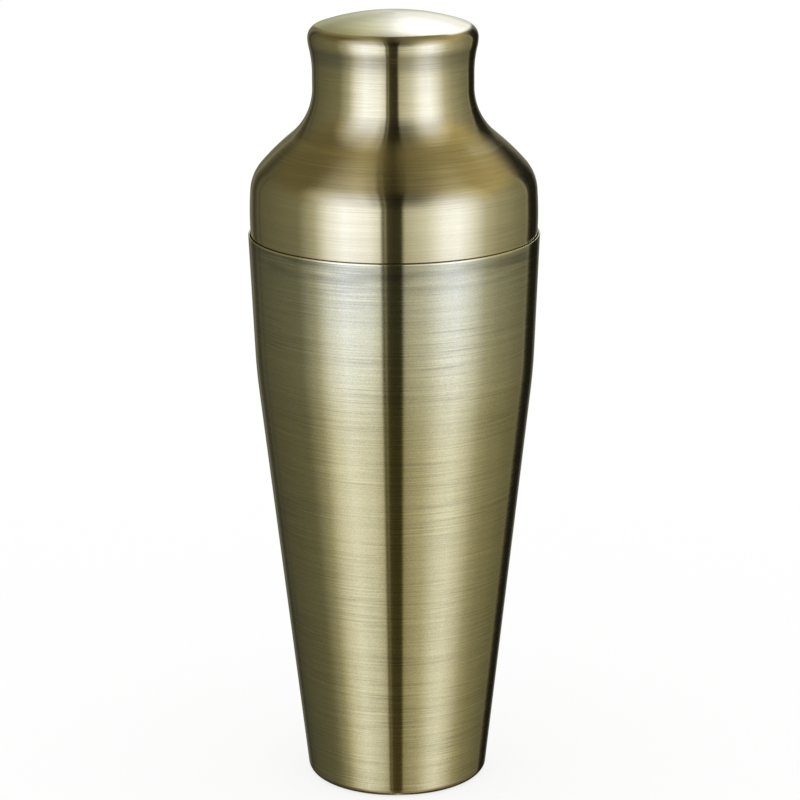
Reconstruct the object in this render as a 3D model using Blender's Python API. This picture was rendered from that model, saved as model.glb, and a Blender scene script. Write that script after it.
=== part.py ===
"""Two-piece cocktail shaker of the Paris pattern: a tapered lower tin, and a bottle-shaped cap whose
skirt slides into the tin's mouth.

Both pieces are turned shells of sheet steel. The frame is in metres with +Z up, and its origin is the
centre of the ring that the tin stands on. Run with: blender --background --python part.py
"""

import math

import bmesh
import bpy

MM = 0.001

# Sheet and fit
SHEET = 0.5 * MM  # thickness of the steel in both pieces
FIT_GAP = 0.25 * MM  # between the tin's mouth and the cap's skirt, across the axis
MOUTH_HEIGHT = 173.2 * MM

# Lower tin, outer skin from the middle of the base to the mouth
PANEL_RISE = 1.5 * MM  # the middle of the base is pressed up off the table
PANEL_RADIUS = 19.0 * MM
PANEL_BEND = 1.8 * MM
FOOT_RADIUS = 25.0 * MM  # where the flat ring ends and the corner starts
FOOT_CORNER = 3.0 * MM
BODY_LEAN = math.radians(-6.49)
BREAK_HEIGHT = 124.2 * MM  # the long cone ends here and the shallower mouth begins to bend in
BREAK_BEND = 190.0 * MM
MOUTH_LEAN = math.radians(-2.5)

# Upper cap, outer skin from the foot of the skirt to the top of the dome
SKIRT_DEPTH = 24.0 * MM  # how far the skirt reaches down into the mouth
CROWN_HEIGHT = 174.6 * MM  # the straight skirt ends here
CROWN_BEND = 110.0 * MM  # the upright wall above the mouth bulges slightly
CROWN_LEAN = math.radians(4.0)
SHOULDER_BEND = 13.0 * MM
SHOULDER_LEAN = math.radians(40.8)
SLOPE_BEND = 73.0 * MM  # the slope from the shoulder to the neck is a flat curve
SLOPE_LEAN = math.radians(50.7)
NECK_BEND = 19.0 * MM  # hollow, back to upright
NECK_RUN = 4.4 * MM
FLARE_BEND = 34.0 * MM  # hollow, out to the widest part of the knob
FLARE_LEAN = math.radians(-13.7)
KNOB_BEND = 11.3 * MM
RIM_BEND = 4.0 * MM  # the tight edge between the knob's side and the dome
DOME_RADIUS = 71.5 * MM

# Facets
SEGMENTS = 48  # round the axis, the same in both pieces so that the gap stays even
CHORD_ERROR = 0.05 * MM  # how far a facet may cut inside a curve of the outline
EDGE_STEPS = 4  # in the half-round of a bare sheet edge
WELD = 0.001 * MM  # corners nearer than this are one, where the spun section meets itself and the axis
SHARP_ANGLE = math.radians(40.0)

# Finish
ANTIQUE_BRASS = (0.42, 0.36, 0.22, 1.0)
BRUSHED_ROUGHNESS = 0.32


class Outline:
    """The outer skin of a turned piece, as points (r, z) along straights and tangent bends.

    A lean is the direction of travel, measured from upright and positive towards the axis.
    """

    def __init__(self, r, z, lean):
        self.points = [(r, z)]
        self.lean = lean

    def rise_to_height(self, z):
        start_r, start_z = self.points[-1]
        self.points.append((start_r - (z - start_z) * math.tan(self.lean), z))

    def bend(self, radius, lean):
        """Adds an arc that leaves the outline travelling at this lean."""
        side = math.copysign(1.0, lean - self.lean)
        start_r, start_z = self.points[-1]
        centre_r = start_r - side * radius * math.cos(self.lean)
        centre_z = start_z - side * radius * math.sin(self.lean)
        facet = 2 * math.acos(1 - CHORD_ERROR / radius)
        steps = math.ceil(abs(lean - self.lean) / facet)
        for step in range(1, steps + 1):
            at = self.lean + (lean - self.lean) * step / steps
            r = centre_r + side * radius * math.cos(at)
            self.points.append((r, centre_z + side * radius * math.sin(at)))
        self.lean = lean


def tin_outline():
    outward = math.radians(-90.0)
    panel_turn = math.acos(1 - PANEL_RISE / (2 * PANEL_BEND))
    panel_step = 2 * PANEL_BEND * math.sin(panel_turn)
    outline = Outline(0.0, PANEL_RISE, outward)
    outline.points.append((PANEL_RADIUS - panel_step, PANEL_RISE))
    outline.bend(PANEL_BEND, outward - panel_turn)
    outline.bend(PANEL_BEND, outward)
    outline.points.append((FOOT_RADIUS, 0.0))
    outline.bend(FOOT_CORNER, BODY_LEAN)
    outline.rise_to_height(BREAK_HEIGHT)
    outline.bend(BREAK_BEND, MOUTH_LEAN)
    outline.rise_to_height(MOUTH_HEIGHT)
    return outline


def cap_outline(mouth_radius):
    """The skirt runs parallel to the inside of a tin with this outer radius at its mouth."""
    skirt_radius = mouth_radius - SHEET / math.cos(MOUTH_LEAN) - FIT_GAP
    foot_radius = skirt_radius + SKIRT_DEPTH * math.tan(MOUTH_LEAN)
    outline = Outline(foot_radius, MOUTH_HEIGHT - SKIRT_DEPTH, MOUTH_LEAN)
    outline.rise_to_height(CROWN_HEIGHT)
    outline.bend(CROWN_BEND, CROWN_LEAN)
    outline.bend(SHOULDER_BEND, SHOULDER_LEAN)
    outline.bend(SLOPE_BEND, SLOPE_LEAN)
    outline.bend(NECK_BEND, 0.0)
    outline.rise_to_height(outline.points[-1][1] + NECK_RUN)
    outline.bend(FLARE_BEND, FLARE_LEAN)
    outline.bend(KNOB_BEND, 0.0)
    rim_centre = outline.points[-1][0] - RIM_BEND
    outline.bend(RIM_BEND, math.acos(rim_centre / (DOME_RADIUS - RIM_BEND)))
    outline.bend(DOME_RADIUS, math.radians(90.0))
    outline.points[-1] = (0.0, outline.points[-1][1])
    return outline


def inner_skin(outer):
    """The outline moved to its left by the thickness of the sheet. An end on the axis stays on it."""
    moved = []
    for before, here, after in zip(outer[:1] + outer, outer, outer[1:] + outer[-1:]):
        sides = []
        for start, end in ((before, here), (here, after)):
            length = math.dist(start, end)
            if length:
                sides.append(((start[1] - end[1]) / length, (end[0] - start[0]) / length))
        across = [sum(side[axis] for side in sides) / len(sides) for axis in (0, 1)]
        reach = SHEET / (across[0] ** 2 + across[1] ** 2)
        r = here[0] + across[0] * reach if here[0] else 0.0
        moved.append((r, here[1] + across[1] * reach))
    return moved


def round_edge(start, end):
    """The points between start and end on the half-round that joins them, turning to the left."""
    centre = ((start[0] + end[0]) / 2, (start[1] + end[1]) / 2)
    radius = math.dist(start, end) / 2
    first = math.atan2(start[1] - centre[1], start[0] - centre[0])
    points = []
    for step in range(1, EDGE_STEPS):
        at = first + math.pi * step / EDGE_STEPS
        points.append((centre[0] + radius * math.cos(at), centre[1] + radius * math.sin(at)))
    return points


def sheet_section(outer):
    """The section of a shell from axis to axis: one skin, the round bare edge, and the other skin."""
    inner = inner_skin(outer)
    if outer[0][0] == 0.0:
        return outer + round_edge(outer[-1], inner[-1]) + inner[::-1]
    return inner[::-1] + round_edge(inner[0], outer[0]) + outer


def turned_shell(name, section, material):
    """An object made by spinning a section round the Z axis."""
    form = bmesh.new()
    corners = [form.verts.new((r, 0.0, z)) for r, z in section]
    lines = [form.edges.new(pair) for pair in zip(corners, corners[1:])]
    bmesh.ops.spin(
        form,
        geom=corners + lines,
        cent=(0.0, 0.0, 0.0),
        axis=(0.0, 0.0, 1.0),
        angle=math.tau,
        steps=SEGMENTS,
        use_merge=True,
    )
    bmesh.ops.remove_doubles(form, verts=form.verts, dist=WELD)
    bmesh.ops.recalc_face_normals(form, faces=form.faces)
    mesh = bpy.data.meshes.new(name)
    form.to_mesh(mesh)
    form.free()
    mesh.shade_smooth()
    mesh.set_sharp_from_angle(angle=SHARP_ANGLE)
    mesh.materials.append(material)
    piece = bpy.data.objects.new(name, mesh)
    bpy.context.scene.collection.objects.link(piece)
    return piece


def brushed_brass(name):
    """Steel with a brushed antique-brass plating."""
    material = bpy.data.materials.new(name)
    material.use_nodes = True
    shader = material.node_tree.nodes["Principled BSDF"]
    shader.inputs["Base Color"].default_value = ANTIQUE_BRASS
    shader.inputs["Metallic"].default_value = 1.0
    shader.inputs["Roughness"].default_value = BRUSHED_ROUGHNESS
    return material


def main():
    for leftover in list(bpy.data.objects):
        bpy.data.objects.remove(leftover)
    tin = tin_outline()
    cap = cap_outline(tin.points[-1][0])
    turned_shell("lower_tin", sheet_section(tin.points), brushed_brass("tin_plating"))
    turned_shell("upper_cap", sheet_section(cap.points), brushed_brass("cap_plating"))


main()
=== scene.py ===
"""Looks of the two-piece cocktail shaker: finely turned shells in brushed antique brass, steel inside,
a pale floor and soft studio light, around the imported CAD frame."""

import math

import bpy
from mathutils import Matrix


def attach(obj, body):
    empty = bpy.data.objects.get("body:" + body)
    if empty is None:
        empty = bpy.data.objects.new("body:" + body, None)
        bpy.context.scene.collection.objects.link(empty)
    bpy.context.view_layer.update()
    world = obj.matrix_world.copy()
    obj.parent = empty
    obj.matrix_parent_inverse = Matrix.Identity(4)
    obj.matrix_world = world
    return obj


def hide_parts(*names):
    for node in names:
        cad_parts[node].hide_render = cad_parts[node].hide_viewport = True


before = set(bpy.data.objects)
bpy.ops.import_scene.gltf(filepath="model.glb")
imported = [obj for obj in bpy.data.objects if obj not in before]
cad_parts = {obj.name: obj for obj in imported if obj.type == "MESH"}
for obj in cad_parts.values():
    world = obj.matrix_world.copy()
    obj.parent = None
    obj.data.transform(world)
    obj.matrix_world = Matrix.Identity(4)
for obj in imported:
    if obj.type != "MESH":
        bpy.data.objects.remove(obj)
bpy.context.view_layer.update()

MM = 0.001

# ---------------------------------------------------------------- shape
# The outline is that of the CAD pieces, in a finer division.
SHEET = 0.5 * MM
FIT_GAP = 0.25 * MM  # between the tin's mouth and the cap's skirt, across the axis
MOUTH_HEIGHT = 173.2 * MM
OUTWARD = math.radians(-90.0)
UPRIGHT = 0.0
INWARD = math.radians(90.0)

# Lower tin, outer skin from the middle of the base to the mouth
PANEL_RISE = 1.5 * MM
PANEL_RADIUS = 19.0 * MM
PANEL_BEND = 1.8 * MM
FOOT_RADIUS = 25.0 * MM
FOOT_CORNER = 3.0 * MM
BODY_LEAN = math.radians(-6.49)
BREAK_HEIGHT = 124.2 * MM
BREAK_BEND = 190.0 * MM
MOUTH_LEAN = math.radians(-2.5)

# Upper cap, outer skin from the foot of the skirt to the top of the dome
SKIRT_DEPTH = 24.0 * MM
CROWN_HEIGHT = 174.6 * MM
CROWN_BEND = 110.0 * MM
CROWN_LEAN = math.radians(4.0)
SHOULDER_BEND = 13.0 * MM
SHOULDER_LEAN = math.radians(40.8)
SLOPE_BEND = 73.0 * MM
SLOPE_LEAN = math.radians(50.7)
NECK_BEND = 19.0 * MM
NECK_RUN = 4.4 * MM
FLARE_BEND = 34.0 * MM
FLARE_LEAN = math.radians(-13.7)
KNOB_BEND = 11.3 * MM
RIM_BEND = 4.0 * MM
DOME_RADIUS = 71.5 * MM

SEGMENTS = 192  # round the axis
CHORD_ERROR = 0.003 * MM  # how far a facet may cut inside a curve of the outline
STRAIGHT_STEP = 4.0 * MM  # the longest facet along a straight
EDGE_STEPS = 10  # in the half-round of a bare sheet edge

OUTSIDE, EDGE, INSIDE = range(3)  # the skins of a sheet shell, in the order of its materials


class Outline:
    """The outer skin of a turned piece, as points (r, z, lean) along straights and tangent bends.

    A lean is the direction of travel, measured from upright and positive towards the axis.
    """

    def __init__(self, r, z, lean):
        self.points = [(r, z, lean)]
        self.lean = lean

    def run(self, length):
        start_r, start_z, _ = self.points[-1]
        steps = max(1, math.ceil(length / STRAIGHT_STEP))
        for step in range(1, steps + 1):
            gone = length * step / steps
            r = start_r - gone * math.sin(self.lean)
            self.points.append((r, start_z + gone * math.cos(self.lean), self.lean))

    def rise_to(self, z):
        self.run((z - self.points[-1][1]) / math.cos(self.lean))

    def bend(self, radius, lean):
        """Adds an arc that leaves the outline travelling at this lean."""
        side = math.copysign(1.0, lean - self.lean)
        start_r, start_z, _ = self.points[-1]
        centre_r = start_r - side * radius * math.cos(self.lean)
        centre_z = start_z - side * radius * math.sin(self.lean)
        facet = 2 * math.acos(1 - CHORD_ERROR / radius)
        steps = math.ceil(abs(lean - self.lean) / facet)
        for step in range(1, steps + 1):
            at = self.lean + (lean - self.lean) * step / steps
            r = centre_r + side * radius * math.cos(at)
            self.points.append((r, centre_z + side * radius * math.sin(at), at))
        self.lean = lean


def tin_outline():
    panel_turn = math.acos(1 - PANEL_RISE / (2 * PANEL_BEND))
    panel_step = 2 * PANEL_BEND * math.sin(panel_turn)
    outline = Outline(0.0, PANEL_RISE, OUTWARD)
    outline.run(PANEL_RADIUS - panel_step)
    outline.bend(PANEL_BEND, OUTWARD - panel_turn)
    outline.bend(PANEL_BEND, OUTWARD)
    outline.run(FOOT_RADIUS - PANEL_RADIUS)
    outline.bend(FOOT_CORNER, BODY_LEAN)
    outline.rise_to(BREAK_HEIGHT)
    outline.bend(BREAK_BEND, MOUTH_LEAN)
    outline.rise_to(MOUTH_HEIGHT)
    return outline


def cap_outline(mouth_radius):
    """The skirt runs parallel to the inside of a tin with this outer radius at its mouth."""
    skirt_radius = mouth_radius - SHEET / math.cos(MOUTH_LEAN) - FIT_GAP
    foot_radius = skirt_radius + SKIRT_DEPTH * math.tan(MOUTH_LEAN)
    outline = Outline(foot_radius, MOUTH_HEIGHT - SKIRT_DEPTH, MOUTH_LEAN)
    outline.rise_to(CROWN_HEIGHT)
    outline.bend(CROWN_BEND, CROWN_LEAN)
    outline.bend(SHOULDER_BEND, SHOULDER_LEAN)
    outline.bend(SLOPE_BEND, SLOPE_LEAN)
    outline.bend(NECK_BEND, UPRIGHT)
    outline.run(NECK_RUN)
    outline.bend(FLARE_BEND, FLARE_LEAN)
    outline.bend(KNOB_BEND, UPRIGHT)
    rim_centre = outline.points[-1][0] - RIM_BEND
    outline.bend(RIM_BEND, math.acos(rim_centre / (DOME_RADIUS - RIM_BEND)))
    outline.bend(DOME_RADIUS, INWARD)
    outline.points[-1] = (0.0,) + outline.points[-1][1:]
    return outline


def section_of(outer):
    """The section of a sheet shell from axis to axis, as (r, z, normal r, normal z, skin).

    It runs along one skin, round the bare edge and back along the other skin.
    """
    skins = []
    for r, z, lean in outer:
        skins.append((r, z, math.cos(lean), math.sin(lean), OUTSIDE))
    inner = []
    for r, z, out_r, out_z, _ in skins:
        moved = 0.0 if r == 0.0 else r - SHEET * out_r
        inner.append((moved, z - SHEET * out_z, -out_r, -out_z, INSIDE))
    bare_first = outer[0][0] > 0.0
    start, end = (inner[0], skins[0]) if bare_first else (skins[-1], inner[-1])
    middle = ((start[0] + end[0]) / 2, (start[1] + end[1]) / 2)
    first = math.atan2(start[3], start[2])
    edge = []
    for step in range(1, EDGE_STEPS):
        at = first + math.pi * step / EDGE_STEPS
        out_r, out_z = math.cos(at), math.sin(at)
        edge.append((middle[0] + SHEET / 2 * out_r, middle[1] + SHEET / 2 * out_z, out_r, out_z, EDGE))
    if bare_first:
        return inner[::-1] + edge + skins
    return skins + edge + inner[::-1]


def turned_shell(name, section, materials):
    """Spins a section round Z. The section starts and ends on the axis. Normals are exact.

    The point attribute travel is the distance along the section, for finishes that follow the turning.
    """
    points = []
    normals = []
    travel = []
    gone = 0.0
    for index, (r, z, out_r, out_z, _) in enumerate(section):
        if index:
            gone += math.dist(section[index - 1][:2], (r, z))
        copies = 1 if r == 0.0 else SEGMENTS
        for turn in range(copies):
            angle = math.tau * turn / SEGMENTS
            points.append((r * math.cos(angle), r * math.sin(angle), z))
            normals.append((out_r * math.cos(angle), out_r * math.sin(angle), out_z))
            travel.append(gone)
    starts = [0, 1]
    for _ in section[1:-2]:
        starts.append(starts[-1] + SEGMENTS)
    starts.append(len(points) - 1)
    faces = []
    skins = []
    for index in range(len(section) - 1):
        low, high = starts[index], starts[index + 1]
        ends = (section[index][4], section[index + 1][4])
        skin = EDGE if EDGE in ends else ends[0]
        for turn in range(SEGMENTS):
            after = (turn + 1) % SEGMENTS
            if index == 0:
                faces.append((low, high + after, high + turn))
            elif index == len(section) - 2:
                faces.append((low + turn, low + after, high))
            else:
                faces.append((low + turn, low + after, high + after, high + turn))
            skins.append(skin)
    mesh = bpy.data.meshes.new(name)
    mesh.from_pydata(points, [], faces)
    for material in materials:
        mesh.materials.append(material)
    mesh.polygons.foreach_set("material_index", skins)
    mesh.shade_smooth()
    mesh.normals_split_custom_set_from_vertices(normals)
    mesh.attributes.new("travel", "FLOAT", "POINT").data.foreach_set("value", travel)
    mesh.update()
    piece = bpy.data.objects.new(name, mesh)
    bpy.context.scene.collection.objects.link(piece)
    return piece


# ---------------------------------------------------------------- node helpers
NOISE_RANGE = (0.3, 0.7)  # nearly all of a plain noise lies in here
WHITE = (1.0, 1.0, 1.0, 1.0)


class Nodes:
    """Short calls that add shader nodes. An argument may be a socket or a plain value."""

    def __init__(self, tree):
        self.tree = tree
        tree.nodes.clear()

    def add(self, kind, inputs=(), **settings):
        node = self.tree.nodes.new(kind)
        for key, value in settings.items():
            setattr(node, key, value)
        for key, value in dict(inputs).items():
            self.feed(node.inputs[key], value)
        return node

    def feed(self, socket, value):
        if isinstance(value, bpy.types.NodeSocket):
            self.tree.links.new(value, socket)
        else:
            socket.default_value = value

    def math(self, operation, first, second=0.0, third=0.0):
        values = {0: first, 1: second, 2: third}
        return self.add("ShaderNodeMath", values, operation=operation).outputs[0]

    def remap(self, value, low, high, to_low=0.0, to_high=1.0, smooth=True):
        kind = "SMOOTHSTEP" if smooth else "LINEAR"
        inputs = {"Value": value, "From Min": low, "From Max": high, "To Min": to_low, "To Max": to_high}
        return self.add("ShaderNodeMapRange", inputs, interpolation_type=kind).outputs[0]

    def spread(self, noise, low, high):
        """Noise drawn out in proportion, so that nearly all of it lies between low and high."""
        return self.remap(noise, *NOISE_RANGE, low, high, smooth=False)

    def fade(self, value, start, end):
        """Goes smoothly from 0 at start to 1 at end, which may be the lower of the two."""
        if start < end:
            return self.remap(value, start, end)
        return self.remap(value, end, start, 1.0, 0.0)

    def mix(self, share, first, second, blend="MIX"):
        node = self.add("ShaderNodeMix", data_type="RGBA", blend_type=blend)
        sockets = (node.inputs[0], node.inputs[6], node.inputs[7])
        for socket, value in zip(sockets, (share, first, second)):
            self.feed(socket, value)
        return node.outputs[2]

    def ramp(self, share, stops):
        node = self.add("ShaderNodeValToRGB", {"Fac": share})
        elements = node.color_ramp.elements
        while len(elements) < len(stops):
            elements.new(1.0)
        for element, (place, colour) in zip(elements, stops):
            element.position = place
            element.color = (*colour, 1.0)
        return node.outputs["Color"]


# ---------------------------------------------------------------- metal
TURNING_RADIUS = 35.0 * MM  # a middling radius of the shaker, where the lengths of streaks are true
AXIS_RADIUS = 0.01 * MM  # keeps the division by the radius good on the axis

# Base colours of the plating, and the colours of its painted highlight, painted shade and painted
# reflection tint
TIN_TOP = (0.605, 0.59, 0.37, 1.0)
TIN_FOOT = (0.637, 0.575, 0.275, 1.0)
CAP_BRASS = (0.72, 0.66, 0.38, 1.0)
# painted reflection tint: a paler colour on the dome, so its reflection of the white wall looks whiter
CROWN_REFLECTION_TINT = (0.70, 0.68, 0.46, 1.0)
# patina for the flecks and patches, and also painted shade in the hollow under the knob
PATINA_AND_SHADE = (0.20, 0.20, 0.145, 1.0)
# painted highlight: a pale colour along the lip of the tin's mouth
PAINTED_LIP_HIGHLIGHT = (0.93, 0.90, 0.60, 1.0)
# painted shade: a dark brown for the shaded line at the foot and in the crevice under the cap
PAINTED_SHADE_COLOUR = (0.10, 0.075, 0.03, 1.0)

# The kinds of turned noise in the plating: length round the axis, and pitch along the section
HAIR = {"length": 14.0 * MM, "pitch": 0.27 * MM}
LINE = {"length": 30.0 * MM, "pitch": 0.5 * MM, "seed": 31.0}
BAND = {"length": 90.0 * MM, "pitch": 2.0 * MM, "detail": 1.0, "seed": 57.0}
CLOUD = {"length": 26.0 * MM, "pitch": 9.0 * MM, "detail": 1.0, "seed": 12.0}
FLECK = {"length": 13.0 * MM, "pitch": 0.5 * MM, "seed": 83.0}
PATCH = {"length": 16.0 * MM, "pitch": 2.4 * MM, "detail": 1.0, "seed": 71.0}
STREAK_ROUGHNESS = 0.6
GRAIN = 0.42 * MM  # runs no way in particular

# How much each kind varies the colour, and how deep the lines are
HAIR_TONE = 0.07
LINE_TONE = 0.065
BAND_TONE = 0.03
CLOUD_TONE = 0.025
GRAIN_TONE = 0.068
HAIR_RELIEF = 0.010 * MM
LINE_RELIEF = 0.014 * MM

# Flecks of patina, and the lines, come and go with the cloud
FLECK_NOISE = (0.66, 0.80)  # from no fleck to a full one
FLECK_CLOUD = (0.45, 0.65)
FLECK_SHARE = (0.03, 0.18)  # of patina in a full fleck
LINE_CLOUD = (0.35, 0.65)
LINE_SHARE = (0.45, 1.35)  # of the tones above

# Gloss
PLATING_ROUGHNESS = (0.13, 0.16)
FLECK_ROUGHNESS = 0.3  # more, where a fleck were all patina
PLATING_ANISOTROPY = 1.0
QUARTER_TURN = 0.25  # from the tangent round the axis to the way that the lines smear a reflection
LACQUER = 0.25
LACQUER_ROUGHNESS = 0.04

# Colour changes, patina, painted highlight and painted shade on the tin. A pair of heights is where a mark
# starts and where it is at its full strength.
GOLDEN_HEIGHT = 105.0 * MM  # the tin is fully golden from here down
PATCH_NOISE = (0.35, 0.7)
PATCH_SHARE = (0.05, 0.5)
PATCHES = (MOUTH_HEIGHT - 12.0 * MM, MOUTH_HEIGHT - 2.0 * MM)
# painted highlight along the lip of the tin's mouth
LIP_HIGHLIGHT_BAND = (MOUTH_HEIGHT - 0.32 * MM, MOUTH_HEIGHT - 0.22 * MM)
# painted shade along the bottom of the foot, where it meets the floor
FOOT_SHADE_BAND = (1.4 * MM, 0.5 * MM)

# Brushing, painted shade and a painted reflection tint on the cap
# where the dome's painted reflection tint starts and where it is full
CROWN_COLOUR = (234.5 * MM, 238.0 * MM)
POLISH = (234.5 * MM, 237.0 * MM)
CAP_LINES = 0.55  # depth of the turned lines, the tin's being 1
DOME_LINES = 0.15
# painted shade in the hollow under the knob
HOLLOW_FOOT = (225.5 * MM, 228.5 * MM)
HOLLOW_TOP = (233.0 * MM, 230.5 * MM)
HOLLOW_SHADE_SHARE = 0.3
# painted shade in the crevice where the cap's skirt enters the tin's mouth
SEAT_TOP = (MOUTH_HEIGHT + 0.65 * MM, MOUTH_HEIGHT + 0.25 * MM)
SEAT_FOOT = (MOUTH_HEIGHT - 0.8 * MM, MOUTH_HEIGHT - 0.1 * MM)

# Bare steel inside
STEEL_LINE = {"length": 30.0 * MM, "pitch": 0.35 * MM}
STEEL_DARK = (0.68, 0.685, 0.65, 1.0)
STEEL_LIGHT = (0.82, 0.825, 0.785, 1.0)
STEEL_ROUGHNESS = (0.34, 0.46)
STEEL_RELIEF = 0.01 * MM
STEEL_ANISOTROPY = 0.6


class Turning:
    """Noise that follows the turning of a piece, and its height."""

    def __init__(self, nodes):
        self.nodes = nodes
        self.place = nodes.add("ShaderNodeTexCoord").outputs["Object"]
        x, y, self.height = nodes.add("ShaderNodeSeparateXYZ", {0: self.place}).outputs
        squares = nodes.math("ADD", nodes.math("MULTIPLY", x, x), nodes.math("MULTIPLY", y, y))
        radius = nodes.math("MAXIMUM", nodes.math("SQRT", squares), AXIS_RADIUS)
        self.cosine = nodes.math("DIVIDE", x, radius)
        self.sine = nodes.math("DIVIDE", y, radius)
        self.travel = nodes.add("ShaderNodeAttribute", attribute_name="travel").outputs["Fac"]

    def streaks(self, length, pitch, detail=0.0, seed=0.0):
        """Noise drawn out round the axis: about this length round it, and this pitch along the section."""
        reach = TURNING_RADIUS / length
        along = self.nodes.math("ADD", self.nodes.math("DIVIDE", self.travel, pitch), seed)
        parts = {
            0: self.nodes.math("MULTIPLY", self.cosine, reach),
            1: self.nodes.math("MULTIPLY", self.sine, reach),
            2: along,
        }
        place = self.nodes.add("ShaderNodeCombineXYZ", parts).outputs[0]
        inputs = {"Vector": place, "Scale": 1.0, "Detail": detail, "Roughness": STREAK_ROUGHNESS}
        return self.nodes.add("ShaderNodeTexNoise", inputs).outputs["Fac"]

    def band(self, start, end):
        """Goes smoothly from 0 at the start height to 1 at the end height, upward or downward."""
        return self.nodes.fade(self.height, start, end)


def metal_shader(nodes, colour, roughness, height, anisotropy, coat):
    bump = nodes.add("ShaderNodeBump", {"Strength": 1.0, "Distance": 1.0, "Height": height})
    tangent = nodes.add("ShaderNodeTangent", direction_type="RADIAL", axis="Z")
    inputs = {
        "Base Color": colour,
        "Metallic": 1.0,
        "Roughness": roughness,
        "Anisotropic": anisotropy,
        "Anisotropic Rotation": QUARTER_TURN,
        "Tangent": tangent.outputs[0],
        "Normal": bump.outputs[0],
        "Coat Weight": coat,
        "Coat Roughness": LACQUER_ROUGHNESS,
    }
    shader = nodes.add("ShaderNodeBsdfPrincipled", inputs)
    nodes.add("ShaderNodeOutputMaterial", {"Surface": shader.outputs[0]})


def antique_brass(name, plating, brushing, marks_and_light):
    """Brushed antique brass under a clear lacquer.

    plating(turning) gives the colour, brushing(turning) how deep the turned lines are, and
    marks_and_light(turning, colour) adds the patina, painted shade and painted highlights of one piece.
    """
    material = bpy.data.materials.new(name)
    material.use_nodes = True
    nodes = Nodes(material.node_tree)
    turning = Turning(nodes)
    hair = turning.streaks(**HAIR)
    line = turning.streaks(**LINE)
    band = turning.streaks(**BAND)
    cloud = turning.streaks(**CLOUD)
    grain = nodes.add("ShaderNodeTexNoise", {"Vector": turning.place, "Scale": 1.0 / GRAIN, "Detail": 0.0})
    grain = nodes.spread(grain.outputs["Fac"], -GRAIN_TONE, GRAIN_TONE)
    depth = brushing(turning)
    fleck = nodes.remap(turning.streaks(**FLECK), *FLECK_NOISE)
    fleck = nodes.math("MULTIPLY", fleck, nodes.remap(cloud, *FLECK_CLOUD, *FLECK_SHARE))
    fleck = nodes.math("MULTIPLY", fleck, nodes.math("MULTIPLY", depth, depth))
    lines = nodes.spread(line, -LINE_TONE, LINE_TONE)
    lines = nodes.math("ADD", lines, nodes.spread(hair, -HAIR_TONE, HAIR_TONE))
    lines = nodes.math("MULTIPLY", lines, nodes.remap(cloud, *LINE_CLOUD, *LINE_SHARE))
    lines = nodes.math("ADD", lines, nodes.math("MULTIPLY", grain, depth))
    tone = nodes.spread(band, 1.0 - BAND_TONE, 1.0 + BAND_TONE)
    tone = nodes.math("ADD", tone, nodes.math("MULTIPLY", lines, depth))
    tone = nodes.math("ADD", tone, nodes.spread(cloud, CLOUD_TONE, -CLOUD_TONE))
    shade = nodes.add("ShaderNodeCombineXYZ", {0: tone, 1: tone, 2: tone}).outputs[0]
    colour = nodes.mix(fleck, plating(turning), PATINA_AND_SHADE)
    # patina, painted shade and painted highlights of the piece
    colour = marks_and_light(turning, nodes.mix(1.0, colour, shade, "MULTIPLY"))
    roughness = nodes.spread(line, *PLATING_ROUGHNESS)
    roughness = nodes.math("ADD", roughness, nodes.math("MULTIPLY", fleck, FLECK_ROUGHNESS))
    relief = nodes.math("MULTIPLY", hair, HAIR_RELIEF)
    relief = nodes.math("ADD", relief, nodes.math("MULTIPLY", line, LINE_RELIEF))
    relief = nodes.math("MULTIPLY", relief, depth)
    metal_shader(nodes, colour, roughness, relief, PLATING_ANISOTROPY, LACQUER)
    return material


def tin_plating(turning):
    """The tin is greyest at its mouth and more golden further down."""
    return turning.nodes.mix(turning.band(GOLDEN_HEIGHT, MOUTH_HEIGHT), TIN_FOOT, TIN_TOP)


def tin_brushing(turning):
    """The tin's lines are at their full depth all over."""
    return 1.0


def tin_patina_and_painted_light(turning, colour):
    """Grey patina in patches under the mouth, a painted highlight along the lip, and painted shade round
    the foot.
    """
    nodes = turning.nodes
    patch = nodes.remap(turning.streaks(**PATCH), *PATCH_NOISE, *PATCH_SHARE)
    patch = nodes.math("MULTIPLY", patch, turning.band(*PATCHES))
    colour = nodes.mix(patch, colour, PATINA_AND_SHADE)
    # painted highlight along the lip
    colour = nodes.mix(turning.band(*LIP_HIGHLIGHT_BAND), colour, PAINTED_LIP_HIGHLIGHT)
    # painted shade round the foot
    return nodes.mix(turning.band(*FOOT_SHADE_BAND), colour, PAINTED_SHADE_COLOUR)


def cap_plating(turning):
    """The cap's dome is painted paler than the rest, a painted tint that makes its reflection of the white
    wall look whiter.
    """
    return turning.nodes.mix(turning.band(*CROWN_COLOUR), CAP_BRASS, CROWN_REFLECTION_TINT)


def cap_brushing(turning):
    """The cap is polished finer than the tin, and its dome is almost smooth."""
    return turning.nodes.remap(turning.height, *POLISH, CAP_LINES, DOME_LINES)


def cap_painted_shade(turning, colour):
    """The hollow under the knob is darkened with painted shade, and painted shade lies in the crevice over
    the tin's mouth.
    """
    nodes = turning.nodes
    # painted shade in the hollow under the knob
    hollow_shade = nodes.math("MULTIPLY", turning.band(*HOLLOW_FOOT), turning.band(*HOLLOW_TOP))
    colour = nodes.mix(nodes.math("MULTIPLY", hollow_shade, HOLLOW_SHADE_SHARE), colour, PATINA_AND_SHADE)
    # painted shade in the crevice over the tin's mouth
    seam_shade = nodes.math("MULTIPLY", turning.band(*SEAT_TOP), turning.band(*SEAT_FOOT))
    return nodes.mix(seam_shade, colour, PAINTED_SHADE_COLOUR)


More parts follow.
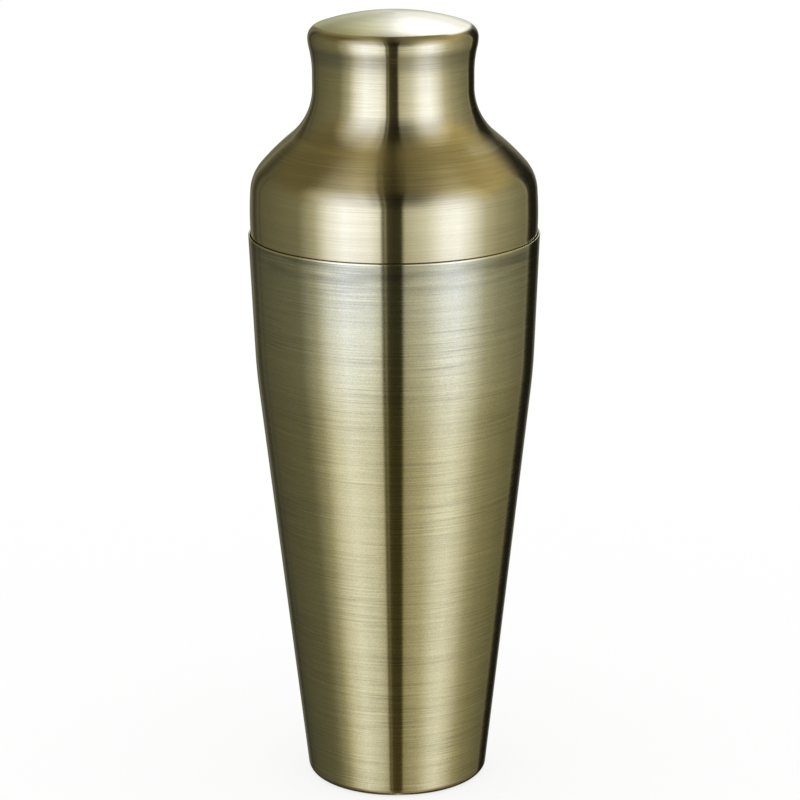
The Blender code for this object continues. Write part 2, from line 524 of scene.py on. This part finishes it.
def satin_steel(name):
    """Bare steel with fine lines round it, and no lacquer."""
    material = bpy.data.materials.new(name)
    material.use_nodes = True
    nodes = Nodes(material.node_tree)
    turning = Turning(nodes)
    line = turning.streaks(**STEEL_LINE)
    colour = nodes.mix(nodes.remap(line, *NOISE_RANGE), STEEL_DARK, STEEL_LIGHT)
    roughness = nodes.spread(line, *STEEL_ROUGHNESS)
    relief = nodes.math("MULTIPLY", line, STEEL_RELIEF)
    metal_shader(nodes, colour, roughness, relief, STEEL_ANISOTROPY, 0.0)
    return material


# ---------------------------------------------------------------- studio
# The studio is a pattern on the world, which only the metal sees.
STUDIO_STRENGTH = 1.6
DAYLIGHT = (0.94, 1.0, 1.48)
ROOM_LIGHT = (1.06, 1.0, 0.74)
ROOM_LEVEL = 0.12  # light of this level has the room's colour
PANEL_LEVEL = 0.95  # and light of this level or more is daylight
WARMEST = -0.1  # the least share of daylight, in light below the room's level

# The light round the shaker: (degrees to the right of the camera, level). Two tall soft panels stand
# either side of the camera, with a narrow dark gap between them and a dim room beyond them.
AROUND = (
    (-180, 0.07),
    (-165, 0.06),
    (-141, 0.065),
    (-110, 0.10),
    (-82, 0.135),
    (-66, 0.33),
    (-54, 0.72),
    (-40, 0.95),
    (-20, 0.82),
    (-11, 0.60),
    (-9.3, 0.04),
    (-8.2, 0.04),
    (-7.8, 0.22),
    (-6.6, 0.22),
    (-6.2, 0.045),
    (-4, 0.036),
    (0, 0.025),
    (6.6, 0.025),
    (7.4, 0.34),
    (25, 0.54),
    (40, 0.86),
    (52, 0.92),
    (64, 0.70),
    (78, 0.365),
    (92, 0.24),
    (115, 0.155),
    (130, 0.12),
    (180, 0.115),
)

# Behind the shaker, black flags and their bright edges leave this share of that light
FLAGS = (
    (-164, 1.5),
    (-158.5, 2.2),
    (-156, 1.0),
    (-147, 0.45),
    (-141, 1.0),
    (-136.5, 1.0),
    (-135, 0.5),
    (-133.5, 1.0),
    (129, 1.0),
    (131, 1.4),
    (133, 1.3),
    (134.5, 0.25),
    (141, 0.08),
    (156, 0.08),
    (166, 0.9),
)
FLAG_TOP = (14, 36)  # degrees up, where the flags end and the room shows over them

# The white wall behind: (degrees to the right of straight back, level)
WALL = (
    (-28, 0.0),
    (-19, 0.10),
    (-15, 0.15),
    (-11.5, 0.24),
    (-10, 0.36),
    (-8, 0.47),
    (-5.5, 0.54),
    (-2, 0.74),
    (0, 0.92),
    (3, 1.2),
    (8, 1.28),
    (16, 1.2),
    (32, 0.8),
    (48, 0.5),
    (62, 0.0),
)
WALL_BLUE_LEAST = 0.42  # share of blue where the wall is dark
WALL_BLUE_RISE = 0.8  # and how much it grows with the level
WALL_BLUE_MOST = 1.18
WALL_EDGE = 8  # degrees to the right, where the wall ends low down
WALL_EDGE_SOFT = 4.5
WALL_EDGE_BENDS = 7  # degrees up; from here it ends a degree further round for each degree up

# The wall by height, from the table up to the wall's top: (degrees up, share)
WALL_UP = (
    (-90, (0.55, 0.55, 0.50)),
    (-25, (0.55, 0.55, 0.50)),
    (-17, (0.30, 0.30, 0.24)),
    (-7, (0.22, 0.22, 0.14)),
    (0, (0.36, 0.36, 0.25)),
    (8, (0.54, 0.54, 0.44)),
    (18, (0.58, 0.58, 0.54)),
    (24, (0.72, 0.72, 0.71)),
    (28, (0.86, 0.86, 0.86)),
    (32, (0.96, 0.96, 0.96)),
    (38, (1.05, 1.05, 1.05)),
    (43, (1.05, 1.05, 1.05)),
    (50, (0.0, 0.0, 0.0)),
)

# The light round the shaker by height: (degrees up the front and on over the top, share)
UP = (
    (-90, (0.15, 0.14, 0.10)),
    (-46, (0.52, 0.50, 0.43)),
    (-30, (0.70, 0.70, 0.69)),
    (-12, (0.98, 0.98, 0.98)),
    (16, (1.0, 1.0, 1.0)),
    (38, (0.75, 0.74, 0.73)),
    (62, (0.48, 0.45, 0.36)),
    (74, (0.32, 0.29, 0.21)),
    (86, (0.14, 0.125, 0.085)),
    (98, (0.0, 0.0, 0.0)),
)

# Low down the dim sides are less warm and the panels are less blue: (degrees to the right, share)
LOW_TINT = (
    (-150, (0.94, 1.0, 1.18)),
    (-80, (0.94, 1.0, 1.18)),
    (-62, (1.012, 1.0, 0.96)),
    (58, (1.012, 1.0, 0.96)),
    (74, (1.0, 1.0, 1.0)),
    (130, (1.0, 1.0, 1.0)),
    (150, (0.94, 1.0, 1.18)),
)
LOW_TINT_STARTS = (-12, -22)  # degrees up
TABLE_GLOW = (0.050, 0.038, 0.020, 1.0)
TABLE_GLOW_STARTS = (-30.5, -36)  # degrees up

# High up the panels are dimmer beside the gap, most of all to its right: (how far across, share)
GAP = (
    (-0.36, 1.0),
    (-0.24, 0.66),
    (-0.12, 0.8),
    (0.12, 0.35),
    (0.24, 0.36),
    (0.36, 0.52),
    (0.50, 0.9),
    (0.62, 1.0),
)
GAP_OPENS = (16, 36)  # degrees up the front

# Low down too, though less
GAP_BELOW = (
    (-0.5, 1.0),
    (-0.34, 0.82),
    (-0.14, 0.62),
    (0.14, 0.75),
    (0.36, 0.76),
    (0.62, 1.0),
)
GAP_OPENS_BELOW = (-18, -44)  # degrees up

# The dim ceiling: (how far across, level)
CEILING = (
    (-1.0, 0.10),
    (-0.65, 0.07),
    (-0.5, 0.09),
    (-0.3, 0.17),
    (-0.2, 0.15),
    (-0.08, 0.06),
    (0.0, 0.04),
    (0.08, 0.085),
    (0.3, 0.125),
    (0.6, 0.20),
    (0.8, 0.25),
    (1.0, 0.30),
)
CEILING_TINT = (1.20, 1.0, 0.56)
CEILING_STARTS = (42, 100)  # degrees up the front, and on over the top

# Where the light from the front, from behind and from above give way to each other
BEHIND = (0.04, -0.12)  # part of the direction that is forward
ABOVE_FORWARD = (-0.12, 0.04)
ABOVE_UP = (0.18, 0.5)  # part of the direction that is up
ABOVE_RISE = (46, 60)  # degrees up


def studio_colour(level):
    """The bright panels are daylight and the dim room is warm."""
    share = (level - ROOM_LEVEL) / (PANEL_LEVEL - ROOM_LEVEL)
    share = min(max(share, WARMEST), 1.0)
    return tuple(level * (warm + (cool - warm) * share) for warm, cool in zip(ROOM_LIGHT, DAYLIGHT))


def grey(level):
    return (level, level, level)


def wall_colour(level):
    """The wall is a warmer white where it is darker."""
    return (level, level, level * min(WALL_BLUE_LEAST + WALL_BLUE_RISE * level, WALL_BLUE_MOST))


def ceiling_colour(level):
    return tuple(level * part for part in CEILING_TINT)


def rows(table, colour=grey):
    return [(place, colour(level)) for place, level in table]


def round_ramp(nodes, angle, stops):
    """The colour at an angle, from stops at degrees between -180 and 180."""
    share = nodes.math("ADD", nodes.math("DIVIDE", angle, math.tau), 0.5)
    return nodes.ramp(share, [(degrees / 360.0 + 0.5, colour) for degrees, colour in stops])


def across_ramp(nodes, x, stops):
    """The colour at a place from left, -1, to right, 1."""
    share = nodes.math("MULTIPLY_ADD", x, 0.5, 0.5)
    return nodes.ramp(share, [((place + 1.0) / 2.0, colour) for place, colour in stops])


def between(nodes, angle, limits):
    """Goes smoothly from 0 to 1 between two angles in degrees, upward or downward."""
    start, end = limits
    return nodes.fade(angle, math.radians(start), math.radians(end))


def light_around(nodes, turn, rise):
    """The panels and the dim room beside them."""
    level = round_ramp(nodes, turn, rows(AROUND, studio_colour))
    level = nodes.mix(1.0, level, round_ramp(nodes, rise, UP), "MULTIPLY")
    tint = nodes.mix(between(nodes, rise, LOW_TINT_STARTS), WHITE, round_ramp(nodes, turn, LOW_TINT))
    return nodes.mix(1.0, level, tint, "MULTIPLY")


def light_from_front(nodes, x, turn, rise):
    """The panels with the gap between them, and the table's glow."""
    gap = nodes.mix(between(nodes, rise, GAP_OPENS_BELOW), WHITE, across_ramp(nodes, x, rows(GAP_BELOW)))
    panels = nodes.mix(1.0, light_around(nodes, turn, rise), gap, "MULTIPLY")
    return nodes.mix(between(nodes, rise, TABLE_GLOW_STARTS), panels, TABLE_GLOW, "ADD")


def light_from_above(nodes, x, over):
    """The panels and the gap run back overhead and fade into a dim ceiling."""
    panels = round_ramp(nodes, nodes.math("ARCSINE", x), rows(AROUND, studio_colour))
    panels = nodes.mix(1.0, panels, round_ramp(nodes, over, UP), "MULTIPLY")
    gap = nodes.mix(between(nodes, over, GAP_OPENS), WHITE, across_ramp(nodes, x, rows(GAP)))
    panels = nodes.mix(1.0, panels, gap, "MULTIPLY")
    return nodes.mix(between(nodes, over, CEILING_STARTS), panels, ceiling(nodes, x), "ADD")


def ceiling(nodes, x):
    return across_ramp(nodes, x, rows(CEILING, ceiling_colour))


def light_from_behind(nodes, x, y, turn, rise):
    """The room with its black flags, the ceiling over them, and the white wall."""
    room = light_around(nodes, turn, rise)
    flagged = nodes.mix(1.0, room, round_ramp(nodes, turn, rows(FLAGS)), "MULTIPLY")
    room = nodes.mix(between(nodes, rise, FLAG_TOP), flagged, ceiling(nodes, x))
    back = nodes.math("ARCTAN2", x, y)
    lean = nodes.math("MAXIMUM", nodes.math("SUBTRACT", rise, math.radians(WALL_EDGE_BENDS)), 0.0)
    edge = nodes.math("SUBTRACT", back, lean)
    edge = between(nodes, edge, (WALL_EDGE + WALL_EDGE_SOFT, WALL_EDGE - WALL_EDGE_SOFT))
    wall = round_ramp(nodes, back, rows(WALL, wall_colour))
    wall = nodes.mix(1.0, wall, round_ramp(nodes, rise, WALL_UP), "MULTIPLY")
    wall = nodes.mix(1.0, wall, edge, "MULTIPLY")
    return nodes.mix(1.0, room, wall, "LIGHTEN")


def studio_light():
    """The floor and the view see plain white. The metal sees the studio."""
    world = bpy.data.worlds.new("studio")
    bpy.context.scene.world = world
    world.use_nodes = True
    world.cycles.sampling_method = "NONE"
    nodes = Nodes(world.node_tree)
    place = nodes.add("ShaderNodeTexCoord").outputs["Generated"]
    x, y, z = nodes.add("ShaderNodeSeparateXYZ", {0: place}).outputs
    front = nodes.math("MULTIPLY", y, -1.0)
    turn = nodes.math("ARCTAN2", x, front)
    rise = nodes.math("ARCSINE", z)
    over = nodes.math("ARCTAN2", z, front)
    behind = nodes.fade(front, *BEHIND)
    above = nodes.math("MULTIPLY", nodes.fade(front, *ABOVE_FORWARD), nodes.fade(z, *ABOVE_UP))
    above = nodes.math("MAXIMUM", above, between(nodes, rise, ABOVE_RISE))
    front_light = light_from_front(nodes, x, turn, rise)
    back_light = light_from_behind(nodes, x, y, turn, rise)
    studio = nodes.mix(behind, front_light, back_light)
    studio = nodes.mix(above, studio, light_from_above(nodes, x, over))
    path = nodes.add("ShaderNodeLightPath")
    plain = nodes.math("MAXIMUM", path.outputs["Is Camera Ray"], path.outputs["Is Diffuse Ray"])
    seen = nodes.add("ShaderNodeBackground", {"Color": studio, "Strength": STUDIO_STRENGTH})
    white = nodes.add("ShaderNodeBackground", {"Color": WHITE, "Strength": 1.0})
    shown = nodes.add("ShaderNodeMixShader", {0: plain, 1: seen.outputs[0], 2: white.outputs[0]})
    nodes.add("ShaderNodeOutputWorld", {"Surface": shown.outputs[0]})


# ---------------------------------------------------------------- floor and camera
FLOOR_SIZE = 6.0
FLOOR_GLOW = 0.8  # share of the floor's white that is its own, which keeps the shadows on it faint

# The camera, from the base's centre
CAMERA_BACK = 1.0118
CAMERA_HEIGHT = 0.3976
CAMERA_PITCH = math.radians(15.325)
CAMERA_YAW = math.radians(-0.085)
CAMERA_ROLL = math.radians(-0.316)
LENS_MM = 153.0
SENSOR_MM = 36.0
NEAREST = 0.05
FARTHEST = 20.0


def pale_floor():
    """A white floor, which the metal doesn't mirror."""
    half = FLOOR_SIZE / 2
    mesh = bpy.data.meshes.new("floor")
    corners = [(-half, -half, 0.0), (half, -half, 0.0), (half, half, 0.0), (-half, half, 0.0)]
    mesh.from_pydata(corners, [], [(0, 1, 2, 3)])
    material = bpy.data.materials.new("pale_floor")
    material.use_nodes = True
    nodes = Nodes(material.node_tree)
    paint = nodes.add("ShaderNodeBsdfDiffuse", {"Color": WHITE})
    glow = nodes.add("ShaderNodeEmission", {"Color": WHITE, "Strength": 1.0})
    lit = nodes.add("ShaderNodeMixShader", {0: FLOOR_GLOW, 1: paint.outputs[0], 2: glow.outputs[0]})
    nodes.add("ShaderNodeOutputMaterial", {"Surface": lit.outputs[0]})
    mesh.materials.append(material)
    floor = bpy.data.objects.new("floor", mesh)
    floor.visible_glossy = False
    bpy.context.scene.collection.objects.link(floor)


def studio_camera():
    lens = bpy.data.cameras.new("camera")
    lens.lens = LENS_MM
    lens.sensor_width = SENSOR_MM
    lens.clip_start = NEAREST
    lens.clip_end = FARTHEST
    camera = bpy.data.objects.new("camera", lens)
    place = Matrix.Translation((0.0, -CAMERA_BACK, CAMERA_HEIGHT))
    aim = Matrix.Rotation(CAMERA_YAW, 4, "Z") @ Matrix.Rotation(math.pi / 2 - CAMERA_PITCH, 4, "X")
    camera.matrix_world = place @ aim @ Matrix.Rotation(CAMERA_ROLL, 4, "Z")
    bpy.context.scene.collection.objects.link(camera)
    bpy.context.scene.camera = camera


def main():
    steel = satin_steel("satin_steel")
    tin_brass = antique_brass("tin_brass", tin_plating, tin_brushing, tin_patina_and_painted_light)
    cap_brass = antique_brass("cap_brass", cap_plating, cap_brushing, cap_painted_shade)
    tin = tin_outline()
    cap = cap_outline(tin.points[-1][0])
    tin_piece = turned_shell("tin_shell", section_of(tin.points), [tin_brass, tin_brass, steel])
    cap_piece = turned_shell("cap_shell", section_of(cap.points), [cap_brass, cap_brass, steel])
    for piece, body, node, slot in (
        (tin_piece, "tin", "lower_tin", "tin_plating"),
        (cap_piece, "cap", "upper_cap", "cap_plating"),
    ):
        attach(piece, body)
        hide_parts(node)
    pale_floor()
    studio_light()
    studio_camera()
    bpy.context.scene.view_settings.view_transform = "Standard"
    bpy.context.scene.view_settings.look = "None"


main()
